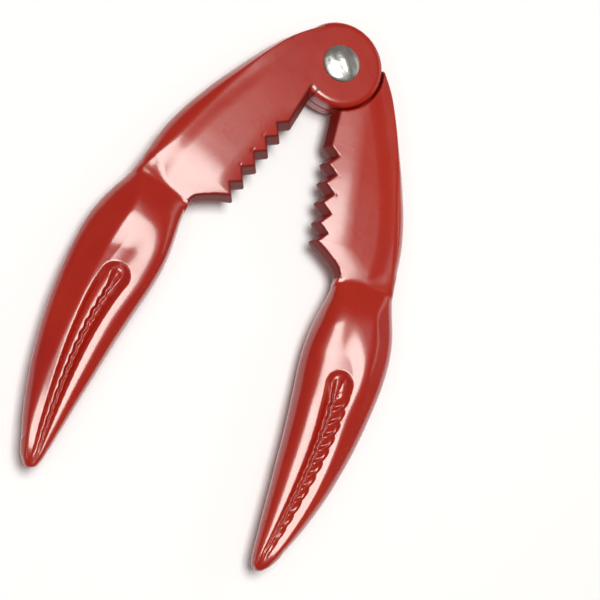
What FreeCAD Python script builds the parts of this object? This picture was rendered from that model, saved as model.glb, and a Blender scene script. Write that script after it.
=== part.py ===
import FreeCAD, Part
import math
import os

V3 = FreeCAD.Vector

os.makedirs("parts", exist_ok=True)

# ---------------------------------------------------------------------------
# Claw-shaped nutcracker: two identical castings, one turned over, on a rivet.
# Row frame: +Z up with the tool lying flat, pivot axis at x = y = 0, handles
# towards -Y, z = 0 is the surface it lies on. Millimetres and degrees.
# ---------------------------------------------------------------------------

# driving dimensions
opening_deg = 28.75        # angle between the two pivot-to-tip lines at rest
lug_radius = 14.6          # round end of each arm, about the pivot
lug_thick = 5.5            # half-lap lug, from the mating plane to the flat land
lug_gap = 0.05             # each lug stops this far short of the middle plane
lug_edge = 1.5             # rounded outer rim of the lug
shoulder_radius = 15.2     # concave shoulder that clears the other arm's lug
bore_radius = 3.08         # hole for the rivet, the same in both castings
shank_radius = 3.00
head_radius = 6.25
head_height = 1.9          # domed head, and the formed tail on the other side
tail_flat_radius = 4.2
rest_half = lug_thick + head_height     # half of the overall thickness
edge_half = 1.3            # half height of the blunt parting edge round the claw
tooth_flat = 0.6           # half height of the upright land on the teeth
tooth_draft = 0.475        # how fast the toothed edge slopes back above and below that land

# outer edge of the arm: distance along the arm, distance outward
outer = [(-7.5, 12.5), (-4.2, 14.8), (-0.65, 17.0), (5.0, 19.9), (11.3, 22.15), (17.7, 24.05),
         (24.1, 25.7), (30.5, 27.3), (37.0, 28.6), (43.4, 29.7), (49.9, 30.4), (54.8, 30.6),
         (59.7, 30.4), (64.6, 29.9), (67.9, 29.6), (71.2, 29.5), (76.1, 30.0), (80.9, 30.7),
         (85.8, 31.15), (92.4, 31.05), (99.0, 30.1), (105.7, 28.65), (112.3, 26.8), (119.1, 24.6),
         (125.8, 22.1), (132.6, 19.2), (139.4, 16.0), (146.2, 12.2), (151.4, 9.0), (156.6, 5.4),
         (160.7, 2.2), (162.6, 0.2), (163.6, -1.7)]
# inner edge of the handle claw
inner = [(66.0, 9.3), (67.9, 9.0), (71.2, 8.7), (74.6, 7.85), (79.6, 6.0), (84.7, 4.3),
         (91.3, 2.65), (98.0, 1.65), (104.5, 1.1), (111.1, 0.5), (117.7, -0.1), (124.3, -0.8),
         (130.9, -1.6), (137.5, -2.35), (144.1, -3.15), (150.7, -3.95), (155.7, -4.55),
         (160.0, -4.9), (162.6, -4.4), (163.6, -3.3)]
# toothed edge of the jaw, from the neck to the waist
tooth_tip = [27.4, 33.5, 39.9, 46.5, 53.2, 59.3]
tip_out = [-0.75, -0.9, -1.0, -1.05, -1.0, -0.9]
valley_out = 1.9
jaw_edge = [(-7.6, -0.6), (14.0, 0.7)]
for i, u in enumerate(tooth_tip):
    if i:
        jaw_edge.append(((tooth_tip[i - 1] + u) / 2.0 + 0.05, valley_out))
    jaw_edge.append((u, tip_out[i]))
jaw_edge += [(61.9, 2.7), (64.9, 6.2), (66.6, 7.9), (68.0, 8.7), (69.4, 8.95), (71.2, 8.85), (72.0, 8.65)]

# half thickness of the jaw crown and of the claw along the arm
jaw_half_shoulder = [(-7.5, 4.8), (10.0, 4.9), (20.0, 5.0), (35.0, 5.25), (50.0, 5.2), (58.0, 4.9),
                     (64.0, 4.3), (68.0, 3.8), (72.0, 3.1)]
jaw_half_lug = [(-7.5, 6.3), (10.0, 6.2), (20.0, 5.8), (35.0, 5.4), (50.0, 5.2), (58.0, 4.9),
                (64.0, 4.3), (68.0, 3.8), (72.0, 3.1)]
claw_half = [(66.0, 2.2), (69.0, 3.1), (72.0, 4.05), (75.0, 5.1), (80.0, 6.5), (86.0, 7.2),
             (94.0, 7.34), (102.0, 7.32), (110.0, 7.15), (118.0, 6.75), (126.0, 6.2), (134.0, 5.5),
             (142.0, 4.8), (150.0, 4.1), (156.0, 3.5), (160.0, 2.9), (162.6, 2.2), (163.6, 1.6)]


def at(table, u):
    if u <= table[0][0]:
        return table[0][1]
    for (a, fa), (b, fb) in zip(table, table[1:]):
        if u <= b:
            return fa + (fb - fa) * (u - a) / (b - a)
    return table[-1][1]


def section(u, top, bottom):
    # closed wire across the arm: top curve, short outer edge, bottom curve, short inner edge
    t = [V3(u, v, z) for v, z in top]
    b = [V3(u, v, -z) for v, z in bottom]
    ct = Part.BSplineCurve()
    ct.interpolate(t)
    cb = Part.BSplineCurve()
    cb.interpolate(list(reversed(b)))
    return Part.Wire([ct.toShape(), Part.makeLine(t[-1], b[-1]), cb.toShape(), Part.makeLine(b[0], t[0])])


def jaw_top(u, half):
    # broad crown, a little lower along the toothed edge, with a full rounded outer edge
    vo = at(outer, u)
    vi = -2.5 if u < 58.5 else at([(58.5, -2.5), (61.9, 1.4), (64.9, 5.0), (67.9, 7.7), (72.0, 8.1)], u)
    drop = at([(0, 1.0), (60, 1.0), (72, 0.7)], u)
    w = vo - vi
    pts = [(vi, half - drop)]
    for f, g in ((0.09, 0.80), (0.19, 0.50), (0.31, 0.18), (0.44, 0.0), (0.56, 0.04), (0.67, 0.30)):
        pts.append((vi + f * w, half - drop * g))
    zr = half - drop * 0.30
    for f, g in ((0.76, 0.93), (0.84, 0.82), (0.91, 0.64), (0.96, 0.42), (0.988, 0.20), (1.0, 0.0)):
        pts.append((vi + f * w, edge_half + (zr - edge_half) * g))
    return pts


def claw_top(u, half):
    vi, vo = at(inner, u), at(outer, u)
    pts = []
    n = 14
    for i in range(n + 1):
        s = 0.5 * (1.0 - math.cos(math.pi * i / n))
        pts.append((vi + s * (vo - vi),
                    edge_half + (half - edge_half) * max(0.0, 1.0 - abs(2 * s - 1) ** 2.5) ** 0.48))
    return pts


groove = [(101.5, 13.2, 4.3, 7.35), (107.0, 12.9, 4.2, 7.3), (114.0, 11.9, 3.9, 7.0), (122.0, 10.3, 3.5, 6.45),
          (130.0, 8.2, 3.1, 5.8), (138.0, 5.8, 2.7, 5.0), (146.0, 3.1, 2.2, 4.15), (153.0, 0.6, 1.7, 3.4),
          (159.0, -1.5, 1.2, 2.6), (162.5, -2.6, 0.8, 1.9)]   # along, outward, radius, claw height there
serration_pitch = 4.2
serration_width = 2.1
serration_height = 0.7


def claw_half_solid(serrated):
    uc = [66, 69, 72, 75, 80, 86, 92.4, 99, 105.7, 112.3, 119.1, 125.8, 132.6, 139.4, 146.2, 151.4, 156.6, 160.4,
          162.6, 163.6]
    claw = Part.makeLoft([section(u, claw_top(u, at(claw_half, u)), claw_top(u, at(claw_half, u))) for u in uc],
                         True, False)
    claw = claw.common(Part.makeBox(140, 80, 20, V3(40, -20, 0)))
    # tapered valley down the face, from a round upper end to the tip
    wires = []
    for i, (u, v, r, z) in enumerate(groove):
        j, k = max(0, i - 1), min(len(groove) - 1, i + 1)
        d = V3(groove[k][0] - groove[j][0], groove[k][1] - groove[j][1], 0)
        wires.append(Part.Wire(Part.makeCircle(r, V3(u, v, z + 0.45 * r), d)))
    u, v, r, z = groove[0]
    valley = Part.makeLoft(wires, True, False).fuse(Part.makeSphere(1.08 * r, V3(u + 0.9, v, z + 0.46 * r)))
    claw = claw.cut(valley)
    if not serrated:
        return claw
    # row of small saw teeth standing in the valley, on the outward side of its centre line
    mid = [(u, v) for u, v, r, z in groove]
    floor = [(u, z - 0.55 * r) for u, v, r, z in groove]
    saw = []
    u = 106.0
    while u + serration_pitch < 157.0:
        f = 1.0 - 0.55 * (u - 106.0) / 51.0
        c = u + serration_pitch / 2.0
        e = u + serration_pitch - 0.25
        tri = [V3(u, at(mid, u) - 0.5 * f, 0.5), V3(e, at(mid, e) - 0.5 * f, 0.5),
               V3(c, at(mid, c) + serration_width * f, 0.5)]
        saw.append(Part.Face(Part.makePolygon(tri + [tri[0]])).extrude(
            V3(0, 0, at(floor, c) + serration_height * f - 0.5)))
        u += serration_pitch
    return claw.fuse(saw)


def casting():
    # local frame: x along the arm, y outward, lug on the -z side
    us = [-7.5, -4.2, -0.65, 5, 11.3, 17.7, 24.1, 30.5, 37, 43.4, 49.9, 54.8, 59.7, 62.5, 65, 67.9, 70, 72]
    jaw = Part.makeLoft([section(u, jaw_top(u, at(jaw_half_shoulder, u)), jaw_top(u, at(jaw_half_lug, u)))
                         for u in us], True, False)
    edge = [V3(u, v, -tooth_flat) for u, v in jaw_edge] + [V3(72.0, 40, -tooth_flat), V3(-7.6, 40, -tooth_flat)]
    flat = Part.Face(Part.makePolygon(edge + [edge[0]]))
    plan = flat.extrude(V3(0, 0, 2 * tooth_flat))
    for side in (1, -1):
        lean = flat.copy()
        lean.translate(V3(0, 0, tooth_flat + side * tooth_flat))
        plan = plan.fuse(lean.extrude(V3(0, 9 * tooth_draft, 9 * side)))
    jaw = jaw.common(plan)
    # flat land round the rivet on the lug side
    jaw = jaw.common(Part.makeBox(100, 80, 20, V3(-20, -20, -lug_thick)))

    # the saw teeth stand in the valley of one face only; the other face's valley is smooth
    claw = claw_half_solid(True).fuse(claw_half_solid(False).mirror(V3(0, 0, 0), V3(0, 0, 1))).removeSplitter()

    lug = Part.makeCylinder(lug_radius, lug_thick - lug_gap, V3(0, 0, -lug_thick))
    rim = [e for e in lug.Edges if abs(e.BoundBox.ZMin + lug_thick) < 1e-6 and e.BoundBox.ZLength < 1e-6
           and len(e.Vertexes) == 1]
    lug = lug.makeFillet(lug_edge, rim)

    body = jaw.fuse(claw)
    body = body.cut(Part.makeCylinder(shoulder_radius, 20, V3(0, 0, -lug_gap)))
    body = body.fuse(lug)
    body = body.cut(Part.makeCylinder(bore_radius, 30, V3(0, 0, -15)))
    return body


arm = casting()

rear = arm.copy()
rear.rotate(V3(0, 0, 0), V3(0, 0, 1), -90.0 + opening_deg / 2.0)
front = rear.copy()
front.rotate(V3(0, 0, 0), V3(0, 1, 0), 180.0)
rear.translate(V3(0, 0, rest_half))
front.translate(V3(0, 0, rest_half))

# rivet: domed head on the front arm, plain shank, formed flat tail under the rear arm
dome = (head_radius ** 2 + head_height ** 2) / (2 * head_height)
zt = rest_half + lug_thick
zb = rest_half - lug_thick - 0.05
head = Part.makeSphere(dome, V3(0, 0, zt + head_height - dome))
head = head.common(Part.makeCylinder(head_radius, head_height + 1, V3(0, 0, zt)))
shank = Part.makeCylinder(shank_radius, zt - zb, V3(0, 0, zb))
tail = Part.makeCylinder(head_radius - 0.3, zb)
tail_rim = [e for e in tail.Edges if abs(e.BoundBox.ZMin) < 1e-6 and e.BoundBox.ZLength < 1e-6
            and len(e.Vertexes) == 1]
tail = tail.makeChamfer(min(zb - 0.5, head_radius - 0.3 - tail_flat_radius), tail_rim)
rivet = head.fuse(shank).fuse(tail).removeSplitter()

for name, shape in (("front_claw_arm", front), ("rear_claw_arm", rear), ("pivot_rivet", rivet)):
    solids = shape.Solids
    one = solids[0] if len(solids) == 1 else shape
    print(name, len(solids), "valid" if one.isValid() else "INVALID", round(one.Volume, 1), one.BoundBox)
    one.exportStep("parts/" + name + ".step")
print("overlap front/rear", front.common(rear).Volume, "front/rivet", front.common(rivet).Volume,
      "rear/rivet", rear.common(rivet).Volume)
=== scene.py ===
import math

import bmesh
import bpy
import numpy as np
from mathutils import Matrix, Vector


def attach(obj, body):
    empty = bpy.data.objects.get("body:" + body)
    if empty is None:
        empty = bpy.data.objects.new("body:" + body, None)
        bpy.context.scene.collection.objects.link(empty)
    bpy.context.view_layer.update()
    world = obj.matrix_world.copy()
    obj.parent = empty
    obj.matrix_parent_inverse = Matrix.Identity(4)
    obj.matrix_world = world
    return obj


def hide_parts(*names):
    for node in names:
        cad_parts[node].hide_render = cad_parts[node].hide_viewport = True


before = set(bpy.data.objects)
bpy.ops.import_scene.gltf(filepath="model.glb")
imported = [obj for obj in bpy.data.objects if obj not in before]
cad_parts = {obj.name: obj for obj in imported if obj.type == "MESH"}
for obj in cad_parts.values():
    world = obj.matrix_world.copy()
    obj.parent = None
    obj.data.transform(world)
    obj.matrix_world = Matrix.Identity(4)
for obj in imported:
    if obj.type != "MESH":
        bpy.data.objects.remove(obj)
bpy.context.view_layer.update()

scene = bpy.context.scene

# ---------------------------------------------------------------- geometry --
# One casting is described in its own frame, in millimetres: U along the arm
# from the pivot, V outward, W through the thickness. The half-lap lug is on
# the -W side and the concave shoulder that clears the other lug on the +W side.
OPENING = 28.75
MID = 7.4                     # height of the middle plane above the surface it lies on
LUG_R, LUG_T, SHOULDER_R, BORE_R = 14.6, 5.5, 15.2, 3.08
GAP = 0.10

OUTER = [(-7.5, 12.5), (-4.2, 14.8), (-0.65, 17.0), (5.0, 19.9), (11.3, 22.15), (17.7, 24.05),
         (24.1, 25.7), (30.5, 27.3), (37.0, 28.6), (43.4, 29.7), (49.9, 30.4), (54.8, 30.6),
         (59.7, 30.4), (64.6, 29.9), (67.9, 29.6), (71.2, 29.5), (76.1, 30.0), (80.9, 30.7),
         (85.8, 31.15), (92.4, 31.05), (99.0, 30.1), (105.7, 28.65), (112.3, 26.8), (119.1, 24.6),
         (125.8, 22.1), (132.6, 19.2), (139.4, 16.0), (146.2, 12.2), (151.4, 9.0), (156.6, 5.4),
         (160.7, 2.2), (162.6, 0.2), (163.6, -1.7)]
INNER = [(66.0, 9.4), (67.9, 9.05), (71.2, 8.8), (74.6, 7.85), (79.6, 6.0), (84.7, 4.3),
         (91.3, 2.65), (98.0, 1.65), (104.5, 1.1), (111.1, 0.5), (117.7, -0.1), (124.3, -0.8),
         (130.9, -1.6), (137.5, -2.35), (144.1, -3.15), (150.7, -3.95), (155.7, -4.55),
         (160.0, -4.9), (162.6, -4.4), (163.6, -3.3)]
TIPS = [27.4, 33.5, 39.9, 46.5, 53.2, 59.3]
TIP_V = [-0.75, -0.9, -1.0, -1.05, -1.0, -0.9]
VALLEY_V = 1.9
EDGE = [(-7.6, -0.6), (14.0, 0.7)]
for i, u in enumerate(TIPS):
    if i:
        EDGE.append(((TIPS[i - 1] + u) / 2.0 + 0.05, VALLEY_V))
    EDGE.append((u, TIP_V[i]))
EDGE += [(61.9, 2.7), (64.9, 6.2), (66.6, 7.9), (68.0, 8.7), (69.4, 8.95), (71.2, 8.85), (72.0, 8.65)]
CLAW_HALF = [(60, 0.9), (66, 2.2), (69, 3.1), (72, 4.1), (75, 5.15), (78, 6.1), (81, 6.75), (84, 7.15), (88, 7.38),
             (94, 7.39), (100, 7.37), (110, 7.2), (118, 6.85), (126, 6.3), (134, 5.65), (142, 4.95), (150, 4.2),
             (155, 3.6), (157.5, 3.35), (159.5, 3.0), (161.2, 2.5), (162.5, 1.85), (163.3, 1.2), (163.9, 0.6)]
GROOVE = [(99.5, 13.4, 4.4), (107.0, 13.1, 4.2), (114.0, 12.2, 3.9), (122.0, 10.6, 3.4), (130.0, 8.5, 2.95),
          (138.0, 6.0, 2.5), (146.0, 3.2, 2.05), (153.0, 0.6, 1.6), (158.0, -1.4, 1.2), (162.0, -2.6, 0.8)]


def curve(table, u):
    """Smooth cubic through a table of points."""
    t = np.asarray(table, float)
    x, y = t[:, 0], t[:, 1]
    h = np.diff(x)
    d = np.diff(y) / h
    m = np.empty_like(y)
    m[1:-1] = (d[:-1] * h[1:] + d[1:] * h[:-1]) / (h[:-1] + h[1:])
    m[0], m[-1] = d[0], d[-1]
    u = np.clip(u, x[0], x[-1])
    i = np.clip(np.searchsorted(x, u) - 1, 0, len(x) - 2)
    s = (u - x[i]) / h[i]
    s2, s3 = s * s, s * s * s
    return ((2 * s3 - 3 * s2 + 1) * y[i] + (s3 - 2 * s2 + s) * h[i] * m[i]
            + (-2 * s3 + 3 * s2) * y[i + 1] + (s3 - s2) * h[i] * m[i + 1])


def smin(a, b, k):
    h = np.clip(k - np.abs(a - b), 0, None) / k
    return np.minimum(a, b) - h * h * k * 0.25


def smax(a, b, k):
    return -smin(-a, -b, k)


def ramp(x, a, b):
    t = np.clip((x - a) / (b - a), 0, 1)
    return t * t * (3 - 2 * t)


def polygon_distance(px, py, poly):
    """Signed distance to a closed outline, negative inside."""
    a = np.asarray(poly, float)
    b = np.roll(a, -1, 0)
    best = np.full(px.shape, 1e9)
    inside = np.zeros(px.shape, bool)
    for (ax, ay), (bx, by) in zip(a, b):
        ex, ey = bx - ax, by - ay
        wx, wy = px - ax, py - ay
        t = np.clip((wx * ex + wy * ey) / max(ex * ex + ey * ey, 1e-12), 0, 1)
        best = np.minimum(best, (wx - ex * t) ** 2 + (wy - ey * t) ** 2)
        cross = (ay > py) != (by > py)
        if ey:
            inside ^= cross & (px < ax + (py - ay) / ey * ex)
    d = np.sqrt(best)
    return np.where(inside, -d, d)


def wave(x, pitch):
    """Saw-tooth like wave from 0 to 1."""
    f = (x / pitch) % 1.0
    return np.where(f < 0.62, f / 0.62, (1 - f) / 0.38)


STEP = 0.23
gu = np.arange(-16.2, 165.4, STEP)
gv = np.arange(-15.6, 33.3, STEP)
gw = np.arange(-8.4, 8.4 + STEP, STEP)
U, V = np.meshgrid(gu, gv, indexing="ij")


def outline():
    """Closed outline of the whole arm: toothed edge, inner edge of the claw, tip and outer edge."""
    us = np.linspace(-7.5, 157.0, 170)
    out = [(float(u), float(curve(OUTER, u))) for u in us]
    ui = np.linspace(72.6, 156.0, 80)
    inn = [(float(u), float(curve(INNER, u))) for u in ui]
    knots = [(155.0, 6.55), (158.0, 4.35), (160.9, 2.05), (162.75, 0.0), (163.7, -1.9), (163.45, -3.5), (162.1, -4.65),
             (159.9, -4.95), (157.0, -4.72), (154.0, -4.4)]
    tip = []
    for p0, p1, p2, p3 in zip(knots, knots[1:], knots[2:], knots[3:]):
        for k in range(8):
            t = k / 8.0
            tip.append(tuple(0.5 * (2 * b + (c - a) * t + (2 * a - 5 * b + 4 * c - d) * t * t
                                    + (3 * b - a - 3 * c + d) * t ** 3) for a, b, c, d in zip(p0, p1, p2, p3)))
    return EDGE + inn + tip[::-1] + out[::-1]


ARM = polygon_distance(U, V, outline())
VO, VI = curve(OUTER, U), curve(INNER, U)


def jaw_height(lug_side):
    """Height of the jaw's face above the middle plane."""
    if lug_side:
        mid = curve([(-20, 5.9), (14, 5.9), (24, 5.6), (40, 5.45), (50, 5.42), (55, 5.35), (59, 5.1), (63, 4.6),
                     (68, 3.75), (72, 3.0), (76, 2.2)], U)
        inner_fall = curve([(0, 0.0), (14, 0.0), (24, 0.7), (40, 0.95), (56, 1.0), (62, 0.7), (66, 0.35), (76, 0.2)], U)
        reach = 9.0
    else:
        mid = curve([(-20, 4.95), (14, 4.95), (24, 5.0), (40, 5.1), (50, 4.95), (58, 4.6), (64, 4.1), (68, 3.6),
                     (72, 3.05), (76, 2.4)], U)
        inner_fall = curve([(0, 1.3), (20, 1.4), (40, 1.4), (56, 1.25), (64, 0.8), (76, 0.5)], U)
        reach = 13.0
    base = np.where(U < 59.3, -1.0, np.interp(U, [59.3, 66.5, 72, 80], [-1.0, 7.6, 8.6, 9.0]))
    x = np.clip((V - base) / reach, 0, 1)
    z = mid - inner_fall * (1 - x) ** 1.7
    # outer part: gentle fall, then the two soft bands
    d = VO - V
    z = z - 0.45 * ramp(-d, -11.0, -5.0)
    near = (1 - np.clip((U + 6.0) / 58.0, 0, 1)) ** 2.0
    return banded(z, d, 1.15 + 2.2 * near, 2.4, 0.50)


def banded(z, d, steep=1.15, wide=2.4, easy=0.50):
    """Two soft bands that run round the edge: a steep one at the rim, an easier one above it."""
    z = smin(z, 0.95 + steep * wide + easy * (d - wide), 0.55)
    return smin(z, 0.95 + steep * d, 0.5)


def claw_height(serrated):
    s = np.clip((V - VI) / np.maximum(VO - VI, 0.5), 0, 1)
    half = curve(CLAW_HALF, U)
    z = 1.0 + (half - 1.0) * np.clip(1 - np.abs(2 * s - 1) ** 4.2, 0, 1) ** 0.62
    z = banded(z, VO - V, 1.15, 2.5, 0.52)
    z = smin(z, 0.95 + 3.2 * (V - VI), 1.8)
    # shallow dish around the valley between the two fingers of the claw
    c = curve([(a, b) for a, b, r in GROOVE], U)
    r = curve([(a, r) for a, b, r in GROOVE], U)
    x = V - c
    out = 0.5 + 0.5 * np.tanh(x / 2.2)
    face = 1.0 if serrated else -1.0
    lead = np.clip(103.9 - U, 0, None)
    flank = (0.35 + 0.65 * out) if serrated else (1.0 - 0.55 * out)
    far = np.hypot(x * flank, 0.45 * lead) - r
    wide = (out * curve([(84, 5.2), (104, 5.4), (130, 4.2), (150, 2.8), (162, 1.6)], U)
            + (1 - out) * (curve([(84, 4.6), (98, 3.4), (104, 2.8), (130, 2.0), (150, 1.3), (162, 0.8)], U) if serrated
                           else curve([(84, 4.8), (104, 4.8), (130, 3.6), (150, 2.2), (162, 1.0)], U)))
    deep = curve([(84, 1.0), (104, 1.0), (125, 0.85), (140, 0.65), (150, 0.45), (158, 0.2), (162, 0.0)], U)
    z = z - deep * (1.0 if serrated else 0.5 + 0.5 * out) * (1 - ramp(far, -0.4, wide))
    if not serrated:
        # the outward bank of this face falls gently away from the valley
        z = z - 0.10 * np.clip(x - r + 0.5, 0, 6.5) * ramp(U, 88, 98) * (1 - ramp(U, 138, 158))
    # the shoulder of the claw above the valley leans a little to one side
    z = z + face * 0.075 * np.clip(x, -9, 9) * ramp(U, 77, 89) * (1 - ramp(U, 99, 114))
    z = smin(z, np.full_like(z, 7.38), 0.9)
    # the valley itself, with a round upper end
    rad = np.hypot(x, lead)
    depth = curve([(99, 1.9), (107, 2.0), (120, 1.9), (135, 1.6), (150, 1.1), (157, 0.6), (162, 0.1)], U)
    rim = half - deep * 0.9
    floor = rim - depth
    run = 4.2
    on = ramp(U, 105.0, 111.0) * (1 - ramp(U, 155.5, 160.0))
    size = np.interp(U, [104, 160], [1.0, 0.45])
    ph = ((U - 104.0 + 0.45 * x) / run) % 1.0
    notch = on * (1 - np.sin(math.pi * ph) ** 0.7) if serrated else 0.0
    scallop = r * (1 - 0.20 * notch * ramp(x, 0.2, 1.5))
    cup = floor + depth * 1.15 * np.clip(rad / scallop, 0, 2) ** (2.6 + 0.6 * out)
    # thin wavy crest down the valley, starting as a tapered ramp at the upper end
    shift = -0.55 if serrated else -0.85
    sway = 0.26 * np.sin(2 * math.pi * (U - 104.0) / (run if serrated else 3.7))
    line = (shift * ramp(U, 99, 108) + sway * ramp(U, 105, 111)) * size
    lead_in = 1 - ramp(U, 99.5, 109.0)
    ridge = np.clip(1.25 * (1 - np.abs(x - line) / (0.85 * size + 1.4 * lead_in)), 0, 1)
    lean = (0.10 if serrated else -0.10) * np.clip(x - line, -0.6, 0.6)
    crest = (depth * (0.86 - 0.34 * lead_in) + lean) * ridge * ramp(U, 99.5, 103.0) * (1 - ramp(U, 158, 161.5))
    lift = crest
    if serrated:
        # row of saw-tooth pockets on its outward side
        side = (x - line) / np.maximum(r * 0.9, 0.3)
        inside = ramp(side, 0.15, 0.35) * (1 - ramp(side, 0.75, 1.05))
        lift = np.maximum(crest, depth * 0.55 * np.where(ph < 0.70, ph / 0.70, (1 - ph) / 0.30) ** 1.1 * inside * on)
    hollow = np.where(U > 93.0, cup + lift, 99.0)
    return smin(z, hollow, np.interp(U, [98, 135, 160], [1.1, 0.8, 0.4]))


CLAW = {False: claw_height(True), True: claw_height(False)}      # shoulder side, lug side


def field():
    """Implicit surface of the casting on the grid, negative inside."""
    h = STEP
    sides = {}
    for lug_side in (False, True):
        jaw = jaw_height(lug_side)
        if lug_side:
            jaw = smin(jaw, np.full_like(jaw, LUG_T), 0.25)
        jaw = jaw - 0.25 * np.clip(U - 70.0, 0, None) ** 2
        claw = CLAW[lug_side] - 0.10 * np.clip(66.0 - U, 0, None) ** 2
        z = smax(jaw, claw, 0.5 + 2.6 * ramp(V - VO, -12.0, -2.0) * ramp(U, 60, 67) * (1 - ramp(U, 74, 84)))
        a, b = np.gradient(z, h)
        sides[lug_side] = (z, np.sqrt(1 + a * a + b * b))
    # the toothed edge slopes back above and below its upright land
    drafted = 1 - ramp(U, 67.0, 72.5)
    r = np.hypot(U, V)
    ends = np.where(V < curve([(-20, 4), (20, 6), (60, 8), (72, 16), (90, 14), (164, 3)], U), 0.55, 1.5)
    out = np.empty((len(gu), len(gv), len(gw)), np.float32)
    cols = np.arange(len(gv))
    for n, w in enumerate(gw):
        shift = 0.475 * max(abs(w) - 0.6, 0.0) * drafted / h
        j = cols[None, :] - shift
        j0 = np.clip(np.floor(j).astype(int), 0, len(gv) - 2)
        f = np.clip(j - j0, 0, 1)
        moved = (1 - f) * np.take_along_axis(ARM, j0, 1) + f * np.take_along_axis(ARM, j0 + 1, 1)
        plan = np.maximum(ARM, moved * 0.93)
        zt, nt = sides[False]
        zb, nb = sides[True]
        g = smax(plan, (w - zt) / nt, ends)
        g = smax(g, (-w - zb) / nb, ends)
        # concave shoulder, and the space that the other arm's lug turns in
        g = smax(g, -np.maximum(r - SHOULDER_R, (-GAP - w) * np.ones_like(r)), 0.45)
        lug = smax(r - LUG_R, (-w - LUG_T) * np.ones_like(r), 2.4)
        lug = smax(lug, (w + GAP) * np.ones_like(r), 0.3)
        g = np.minimum(g, lug)
        # keep the mating plane clean after the blend
        g = np.maximum(g, np.where(r < SHOULDER_R, w + GAP, -9.0))
        g = smax(g, BORE_R - r, 0.25)
        out[:, :, n] = g
    return out


def surface(f, origin, h):
    """Quads on the zero level of a sampled field, one vertex per crossed cell."""
    sgn = f < 0
    nx, ny, nz = f.shape
    acc = np.zeros((nx - 1, ny - 1, nz - 1, 3), np.float32)
    cnt = np.zeros((nx - 1, ny - 1, nz - 1), np.float32)
    offs = {0: [(0, 0, 0), (0, 1, 0), (0, 0, 1), (0, 1, 1)],
            1: [(0, 0, 0), (1, 0, 0), (0, 0, 1), (1, 0, 1)],
            2: [(0, 0, 0), (1, 0, 0), (0, 1, 0), (1, 1, 0)]}
    for axis in range(3):
        lo = [slice(0, -1) if k == axis else slice(None) for k in range(3)]
        hi = [slice(1, None) if k == axis else slice(None) for k in range(3)]
        a, b = f[tuple(lo)], f[tuple(hi)]
        hit = sgn[tuple(lo)] != sgn[tuple(hi)]
        t = np.where(hit, a / np.where(a == b, 1, a - b), 0)
        for o in offs[axis]:
            sl = [slice(o[k], o[k] + (nx, ny, nz)[k] - 1) for k in range(3)]
            sl[axis] = slice(0, (nx, ny, nz)[axis] - 1)
            hh, tt = hit[tuple(sl)], t[tuple(sl)]
            cnt += hh
            for k in range(3):
                acc[..., k] += (tt if k == axis else o[k]) * hh
    cell = cnt > 0
    idx = np.full(cnt.shape, -1, np.int64)
    idx[cell] = np.arange(cell.sum())
    base = np.argwhere(cell).astype(np.float64)
    verts = (base + acc[cell] / cnt[cell][:, None]) * h + np.asarray(origin)
    quads = []
    for axis in range(3):
        lo = [slice(0, -1) if k == axis else slice(None) for k in range(3)]
        hi = [slice(1, None) if k == axis else slice(None) for k in range(3)]
        p, q = [k for k in range(3) if k != axis]
        e = np.argwhere(sgn[tuple(lo)] != sgn[tuple(hi)])
        e = e[(e[:, p] > 0) & (e[:, q] > 0) & (e[:, p] < f.shape[p] - 1) & (e[:, q] < f.shape[q] - 1)]
        into = sgn[tuple(lo)][tuple(e.T)]
        ring = []
        for dp, dq in ((1, 1), (0, 1), (0, 0), (1, 0)):
            c = e.copy()
            c[:, p] -= dp
            c[:, q] -= dq
            ring.append(idx[tuple(c.T)])
        ring = np.stack(ring, 1)
        flip = into if axis != 1 else ~into
        ring[~flip] = ring[~flip][:, ::-1]
        quads.append(ring)
    return verts, np.concatenate(quads)


def relax(verts, quads, rounds, amount):
    """A light even smoothing that keeps the size."""
    n = len(verts)
    a = np.concatenate([quads[:, [0, 1]], quads[:, [1, 2]], quads[:, [2, 3]], quads[:, [3, 0]]])
    a = np.concatenate([a, a[:, ::-1]])
    deg = np.bincount(a[:, 0], minlength=n).astype(float)[:, None]
    for i in range(rounds):
        for k in (amount, -amount * 1.03):
            s = np.stack([np.bincount(a[:, 0], verts[a[:, 1], c], n) for c in range(3)], 1)
            verts = verts + k * (s / deg - verts)
    return verts


def wall_mask(v):
    """1 on the upright toothed walls, 0 elsewhere."""
    i = np.clip(((v[:, 0] - gu[0]) / STEP).astype(int), 0, len(gu) - 1)
    j = np.clip(((v[:, 1] - gv[0]) / STEP).astype(int), 0, len(gv) - 1)
    shift = 0.475 * np.clip(np.abs(v[:, 2]) - 0.6, 0, None)
    j2 = np.clip(((v[:, 1] - shift - gv[0]) / STEP).astype(int), 0, len(gv) - 1)
    near = np.minimum(np.abs(ARM[i, j]), np.abs(ARM[i, j2])) < 0.38
    return (near & (v[:, 0] > 12) & (v[:, 0] < 69.5) & (v[:, 1] < 12)).astype(np.float32)


def mesh_object(name, verts, quads):
    m = bpy.data.meshes.new(name)
    m.vertices.add(len(verts))
    m.vertices.foreach_set("co", np.asarray(verts, np.float32).ravel())
    m.loops.add(len(quads) * 4)
    m.loops.foreach_set("vertex_index", np.asarray(quads, np.int32).ravel())
    m.polygons.add(len(quads))
    m.polygons.foreach_set("loop_start", np.arange(len(quads), dtype=np.int32) * 4)
    m.polygons.foreach_set("loop_total", np.full(len(quads), 4, np.int32))
    m.polygons.foreach_set("use_smooth", np.ones(len(quads), bool))
    m.update(calc_edges=True)
    m.validate()
    a = m.attributes.new("wall", "FLOAT", "POINT")
    a.data.foreach_set("value", walls)
    o = bpy.data.objects.new(name, m)
    scene.collection.objects.link(o)
    return o


casting_v, casting_q = surface(field(), (gu[0], gv[0], gw[0]), STEP)
casting_v = relax(casting_v, casting_q, 2, 0.5)
walls = wall_mask(casting_v)

half = math.radians(OPENING / 2)
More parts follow.
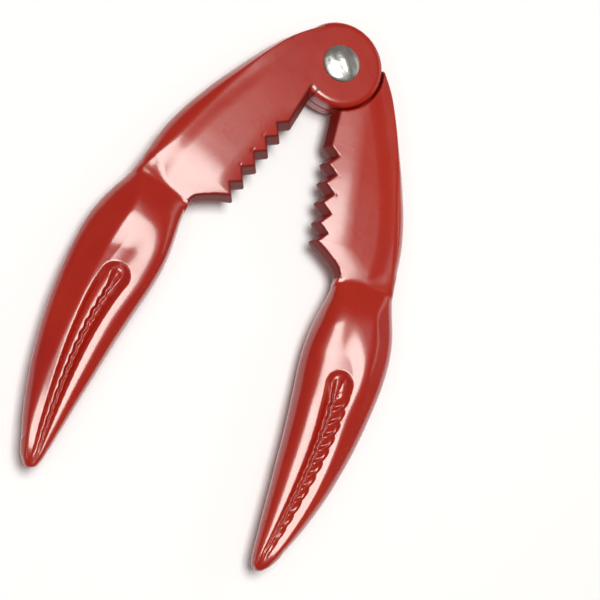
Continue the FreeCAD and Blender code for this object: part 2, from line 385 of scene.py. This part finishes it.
# rear arm: local axes are a plain turn about +Z; front arm: the same, turned over about Y
x = casting_v[:, 0] * math.sin(half) + casting_v[:, 1] * math.cos(half)
y = -casting_v[:, 0] * math.cos(half) + casting_v[:, 1] * math.sin(half)
z = casting_v[:, 2]
rear = mesh_object("rear_arm_casting", np.stack([x, y, z + MID], 1) / 1000, casting_q)
front = mesh_object("front_arm_casting", np.stack([-x, y, -z + MID], 1) / 1000, casting_q)


def rivet_mesh():
    """Domed head with a slightly uneven, hammered crown, plain shank and formed flat tail."""
    bm = bmesh.new()
    top = MID + LUG_T
    R, H = 6.25, 1.9
    prof = []                              # radius, height from the tail's flat face up
    tail_t = MID - LUG_T - 0.05
    prof += [(0.0, 0.0), (2.0, 0.0), (3.6, 0.02), (4.4, 0.07), (5.0, 0.22), (5.45, 0.5), (5.7, 0.85), (5.85, 1.25),
             (5.93, tail_t - 0.12), (5.88, tail_t - 0.02), (5.6, tail_t), (3.1, tail_t), (3.0, tail_t + 0.1),
             (3.0, top - 0.1), (3.1, top + 0.005), (5.9, top + 0.005), (6.18, top + 0.05), (R, top + 0.17),
             (6.2, top + 0.36), (6.0, top + 0.56)]
    r0, z0 = 6.0, 0.56
    for k in range(1, 25):
        r = r0 * (1 - k / 24.0)
        zz = z0 + (H - 0.03 - z0) * (1 - (r / r0) ** 2.25) ** 0.9
        prof.append((r, top + zz))
    n = 96
    rings = []
    for r, zz in prof:
        if r < 1e-6:
            rings.append([bm.verts.new((0, 0, zz))])
            continue
        ring = []
        for i in range(n):
            a = 2 * math.pi * i / n
            px, py = r * math.cos(a), r * math.sin(a)
            d = 0.0
            if zz > top + 0.3:
                # shallow flats left by the forming tool
                w = ramp(np.array([r]), 6.1, 4.6)[0]
                d = 0.05 * math.sin(1.0 * px + 0.6) * math.cos(0.9 * py - 0.5) + 0.03 * math.sin(1.5 * py + 1.1 * px)
                d -= 0.03
                d *= w
            ring.append(bm.verts.new((px, py, zz + min(d, 0.03))))
        rings.append(ring)
    for a, b in zip(rings, rings[1:]):
        if len(a) == 1:
            for i in range(n):
                bm.faces.new((a[0], b[(i + 1) % n], b[i]))
        elif len(b) == 1:
            for i in range(n):
                bm.faces.new((a[i], a[(i + 1) % n], b[0]))
        else:
            for i in range(n):
                bm.faces.new((a[i], a[(i + 1) % n], b[(i + 1) % n], b[i]))
    bmesh.ops.recalc_face_normals(bm, faces=bm.faces)
    for f in bm.faces:
        f.smooth = True
    bmesh.ops.scale(bm, vec=(0.001, 0.001, 0.001), verts=bm.verts)
    m = bpy.data.meshes.new("hinge_rivet")
    bm.to_mesh(m)
    bm.free()
    o = bpy.data.objects.new("hinge_rivet", m)
    scene.collection.objects.link(o)
    return o


rivet = rivet_mesh()

# --------------------------------------------------------------- materials --


def nodes_of(name):
    m = bpy.data.materials.new(name)
    m.use_nodes = True
    nt = m.node_tree
    return m, nt, nt.nodes["Principled BSDF"]


def add(nt, kind, **inputs):
    n = nt.nodes.new(kind)
    for k, v in inputs.items():
        n.inputs[k.replace("_", " ")].default_value = v
    return n


def enamel():
    m, nt, p = nodes_of("red_enamel")
    L = nt.links.new
    tc = nt.nodes.new("ShaderNodeTexCoord")
    cloud = add(nt, "ShaderNodeTexNoise", Scale=38.0, Detail=3.0, Roughness=0.5)
    L(tc.outputs["Object"], cloud.inputs["Vector"])
    mix = nt.nodes.new("ShaderNodeValToRGB")
    mix.color_ramp.elements[0].position, mix.color_ramp.elements[1].position = 0.32, 0.70
    mix.color_ramp.elements[0].color = (0.355, 0.0065, 0.0010, 1)
    mix.color_ramp.elements[1].color = (0.410, 0.0135, 0.0015, 1)
    L(cloud.outputs["Fac"], mix.inputs["Fac"])
    # the coat is thinner and a little more orange over sharp edges
    geo = nt.nodes.new("ShaderNodeNewGeometry")
    edge = nt.nodes.new("ShaderNodeValToRGB")
    edge.color_ramp.elements[0].position, edge.color_ramp.elements[1].position = 0.53, 0.66
    edge.color_ramp.elements[0].color, edge.color_ramp.elements[1].color = (0, 0, 0, 1), (0.55, 0.55, 0.55, 1)
    L(geo.outputs["Pointiness"], edge.inputs["Fac"])
    thin = nt.nodes.new("ShaderNodeMix")
    thin.data_type = "RGBA"
    thin.inputs["B"].default_value = (0.50, 0.045, 0.006, 1)
    L(edge.outputs["Color"], thin.inputs["Factor"])
    L(mix.outputs["Color"], thin.inputs["A"])
    # a few dull specks of dirt in the coat
    speck = add(nt, "ShaderNodeTexNoise", Scale=900.0, Detail=1.0)
    L(tc.outputs["Object"], speck.inputs["Vector"])
    sp = nt.nodes.new("ShaderNodeValToRGB")
    sp.color_ramp.elements[0].position, sp.color_ramp.elements[1].position = 0.775, 0.80
    sp.color_ramp.elements[0].color, sp.color_ramp.elements[1].color = (0, 0, 0, 1), (0.5, 0.5, 0.5, 1)
    L(speck.outputs["Fac"], sp.inputs["Fac"])
    dark = nt.nodes.new("ShaderNodeMix")
    dark.data_type = "RGBA"
    dark.inputs["B"].default_value = (0.10, 0.006, 0.006, 1)
    L(sp.outputs["Color"], dark.inputs["Factor"])
    L(thin.outputs["Result"], dark.inputs["A"])
    # painted shade: the upright toothed walls get a much darker red base colour that stands in for the shade on them
    wall = nt.nodes.new("ShaderNodeAttribute")
    wall.attribute_name = "wall"
    walls_painted_shade = nt.nodes.new("ShaderNodeMix")
    walls_painted_shade.data_type = "RGBA"
    walls_painted_shade.inputs["B"].default_value = (0.18, 0.0040, 0.0015, 1)
    L(wall.outputs["Fac"], walls_painted_shade.inputs["Factor"])
    L(dark.outputs["Result"], walls_painted_shade.inputs["A"])
    L(walls_painted_shade.outputs["Result"], p.inputs["Base Color"])
    rough = add(nt, "ShaderNodeTexNoise", Scale=120.0, Detail=4.0, Roughness=0.6)
    L(tc.outputs["Object"], rough.inputs["Vector"])
    rr = nt.nodes.new("ShaderNodeMapRange")
    rr.inputs["To Min"].default_value, rr.inputs["To Max"].default_value = 0.23, 0.35
    L(rough.outputs["Fac"], rr.inputs["Value"])
    dull = nt.nodes.new("ShaderNodeMath")
    dull.operation = "MULTIPLY_ADD"
    dull.inputs[1].default_value = 0.18
    L(wall.outputs["Fac"], dull.inputs[0])
    L(rr.outputs["Result"], dull.inputs[2])
    L(dull.outputs["Value"], p.inputs["Roughness"])
    thin_coat = nt.nodes.new("ShaderNodeMath")
    thin_coat.operation = "MULTIPLY_ADD"
    thin_coat.inputs[1].default_value, thin_coat.inputs[2].default_value = -0.80, 0.85
    L(wall.outputs["Fac"], thin_coat.inputs[0])
    L(thin_coat.outputs["Value"], p.inputs["Coat Weight"])
    p.inputs["IOR"].default_value = 1.48
    p.inputs["Coat Roughness"].default_value = 0.15
    p.inputs["Coat IOR"].default_value = 1.5
    # orange peel of the sprayed coat over a slightly uneven casting
    peel = add(nt, "ShaderNodeTexNoise", Scale=420.0, Detail=2.0, Roughness=0.45)
    L(tc.outputs["Object"], peel.inputs["Vector"])
    sway = add(nt, "ShaderNodeTexNoise", Scale=70.0, Detail=2.0, Roughness=0.5)
    L(tc.outputs["Object"], sway.inputs["Vector"])
    b1 = nt.nodes.new("ShaderNodeBump")
    b1.inputs["Strength"].default_value, b1.inputs["Distance"].default_value = 0.20, 0.00012
    L(peel.outputs["Fac"], b1.inputs["Height"])
    b2 = nt.nodes.new("ShaderNodeBump")
    b2.inputs["Strength"].default_value, b2.inputs["Distance"].default_value = 0.25, 0.0006
    L(sway.outputs["Fac"], b2.inputs["Height"])
    L(b1.outputs["Normal"], b2.inputs["Normal"])
    L(b2.outputs["Normal"], p.inputs["Normal"])
    return m


def steel():
    m, nt, p = nodes_of("rivet_steel")
    L = nt.links.new
    tc = nt.nodes.new("ShaderNodeTexCoord")
    n1 = add(nt, "ShaderNodeTexNoise", Scale=260.0, Detail=5.0, Roughness=0.6)
    L(tc.outputs["Object"], n1.inputs["Vector"])
    cr = nt.nodes.new("ShaderNodeValToRGB")
    cr.color_ramp.elements[0].position, cr.color_ramp.elements[1].position = 0.30, 0.72
    cr.color_ramp.elements[0].color = (0.50, 0.485, 0.465, 1)
    cr.color_ramp.elements[1].color = (0.74, 0.735, 0.72, 1)
    L(n1.outputs["Fac"], cr.inputs["Fac"])
    L(cr.outputs["Color"], p.inputs["Base Color"])
    p.inputs["Metallic"].default_value = 1.0
    rr = nt.nodes.new("ShaderNodeMapRange")
    rr.inputs["To Min"].default_value, rr.inputs["To Max"].default_value = 0.20, 0.42
    L(n1.outputs["Fac"], rr.inputs["Value"])
    L(rr.outputs["Result"], p.inputs["Roughness"])
    n2 = add(nt, "ShaderNodeTexNoise", Scale=520.0, Detail=3.0, Roughness=0.55)
    L(tc.outputs["Object"], n2.inputs["Vector"])
    b = nt.nodes.new("ShaderNodeBump")
    b.inputs["Strength"].default_value, b.inputs["Distance"].default_value = 0.35, 0.0003
    L(n2.outputs["Fac"], b.inputs["Height"])
    L(b.outputs["Normal"], p.inputs["Normal"])
    return m


red, bare = enamel(), steel()
for o in (front, rear):
    o.data.materials.append(red)
rivet.data.materials.append(bare)

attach(front, "front_arm")
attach(rear, "rear_arm")
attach(rivet, "front_arm")
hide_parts("front_claw_arm")
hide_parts("rear_claw_arm")
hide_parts("pivot_rivet")

# ------------------------------------------------------------------- stage --
bpy.ops.mesh.primitive_plane_add(size=6.0, location=(0, -0.07, 0))
floor = bpy.context.object
floor.name = "floor"
fm, fnt, fp = nodes_of("pale_floor")
ftc = fnt.nodes.new("ShaderNodeTexCoord")
fno = add(fnt, "ShaderNodeTexNoise", Scale=3.0, Detail=4.0)
fnt.links.new(ftc.outputs["Object"], fno.inputs["Vector"])
fcr = fnt.nodes.new("ShaderNodeValToRGB")
fcr.color_ramp.elements[0].color = (0.965, 0.945, 0.985, 1)
fcr.color_ramp.elements[1].color = (0.98, 0.96, 1.0, 1)
fnt.links.new(fno.outputs["Fac"], fcr.inputs["Fac"])
fnt.links.new(fcr.outputs["Color"], fp.inputs["Base Color"])
fp.inputs["Roughness"].default_value = 0.75
fp.inputs["Specular IOR Level"].default_value = 0.2
floor.data.materials.append(fm)

world = bpy.data.worlds.new("studio")
scene.world = world
world.use_nodes = True
world.node_tree.nodes["Background"].inputs["Color"].default_value = (1.0, 0.92, 0.85, 1)
world.node_tree.nodes["Background"].inputs["Strength"].default_value = 0.18

# ------------------------------------------------------------------ camera --
A, B = 0.326766712, 0.193990168      # turn and tilt of the view, radians
FOCAL = 1593.8                       # in picture widths of 600
SCALE = 0.326e-3                     # metres at the tool's middle plane per unit of the above
THETA = math.radians(22.575)
Ra = Matrix(((math.cos(A), 0, math.sin(A)), (0, 1, 0), (-math.sin(A), 0, math.cos(A))))
Rb = Matrix(((1, 0, 0), (0, math.cos(B), -math.sin(B)), (0, math.sin(B), math.cos(B))))
R = Rb @ Ra


def to_row(v):
    """Picture-aligned plane axes (x right, y down, z out) to the row frame."""
    x, y, z = v
    y = -y
    return Vector((x * math.cos(THETA) - y * math.sin(THETA), x * math.sin(THETA) + y * math.cos(THETA), z))


eye = to_row(R.transposed() @ Vector((300 - 335.80226, 300 - 68.93736, FOCAL))) * SCALE + Vector((0, 0, MID / 1000))
right, up, back = to_row(R[0]), -to_row(R[1]), to_row(R[2])
cam_data = bpy.data.cameras.new("camera")
cam_data.sensor_width = 36.0
cam_data.lens = 36.0 * FOCAL / 600.0
cam_data.clip_start, cam_data.clip_end = 0.01, 20
cam = bpy.data.objects.new("camera", cam_data)
cam.matrix_world = Matrix(((right.x, up.x, back.x, eye.x), (right.y, up.y, back.y, eye.y),
                           (right.z, up.z, back.z, eye.z), (0, 0, 0, 1)))
scene.collection.objects.link(cam)
scene.camera = cam


def softbox(name, direction, distance, size, radiance, colour=(1, 1, 1)):
    """Area light facing the tool; direction in picture-aligned axes (x right, y down, z out)."""
    d = to_row(Vector(direction).normalized())
    centre = Vector((0, -0.075, 0))
    light = bpy.data.lights.new(name, "AREA")
    light.shape = "RECTANGLE"
    light.size, light.size_y = size
    light.energy = radiance * math.pi * size[0] * size[1]
    light.color = colour
    o = bpy.data.objects.new(name, light)
    o.location = centre + d * distance
    # long side follows the picture's up direction
    zaxis = d
    yaxis = to_row(Vector((0, -1, 0)))
    xaxis = yaxis.cross(zaxis).normalized()
    yaxis = zaxis.cross(xaxis).normalized()
    o.matrix_world = Matrix(((xaxis.x, yaxis.x, zaxis.x, o.location.x), (xaxis.y, yaxis.y, zaxis.y, o.location.y),
                             (xaxis.z, yaxis.z, zaxis.z, o.location.z), (0, 0, 0, 1)))
    scene.collection.objects.link(o)
    return o


softbox("overhead_box", (0.020, -0.060, 1.0), 1.10, (0.47, 0.61), 12.4, (0.93, 0.96, 0.90))
softbox("side_strip_near", (-0.52, 0.32, 0.79), 1.10, (0.24, 0.80), 1.6, (1.0, 0.96, 0.92))
softbox("side_strip_far", (0.90, -0.30, 0.42), 1.10, (0.24, 0.80), 1.2, (1.0, 0.96, 0.92))

scene.view_settings.view_transform = "Standard"
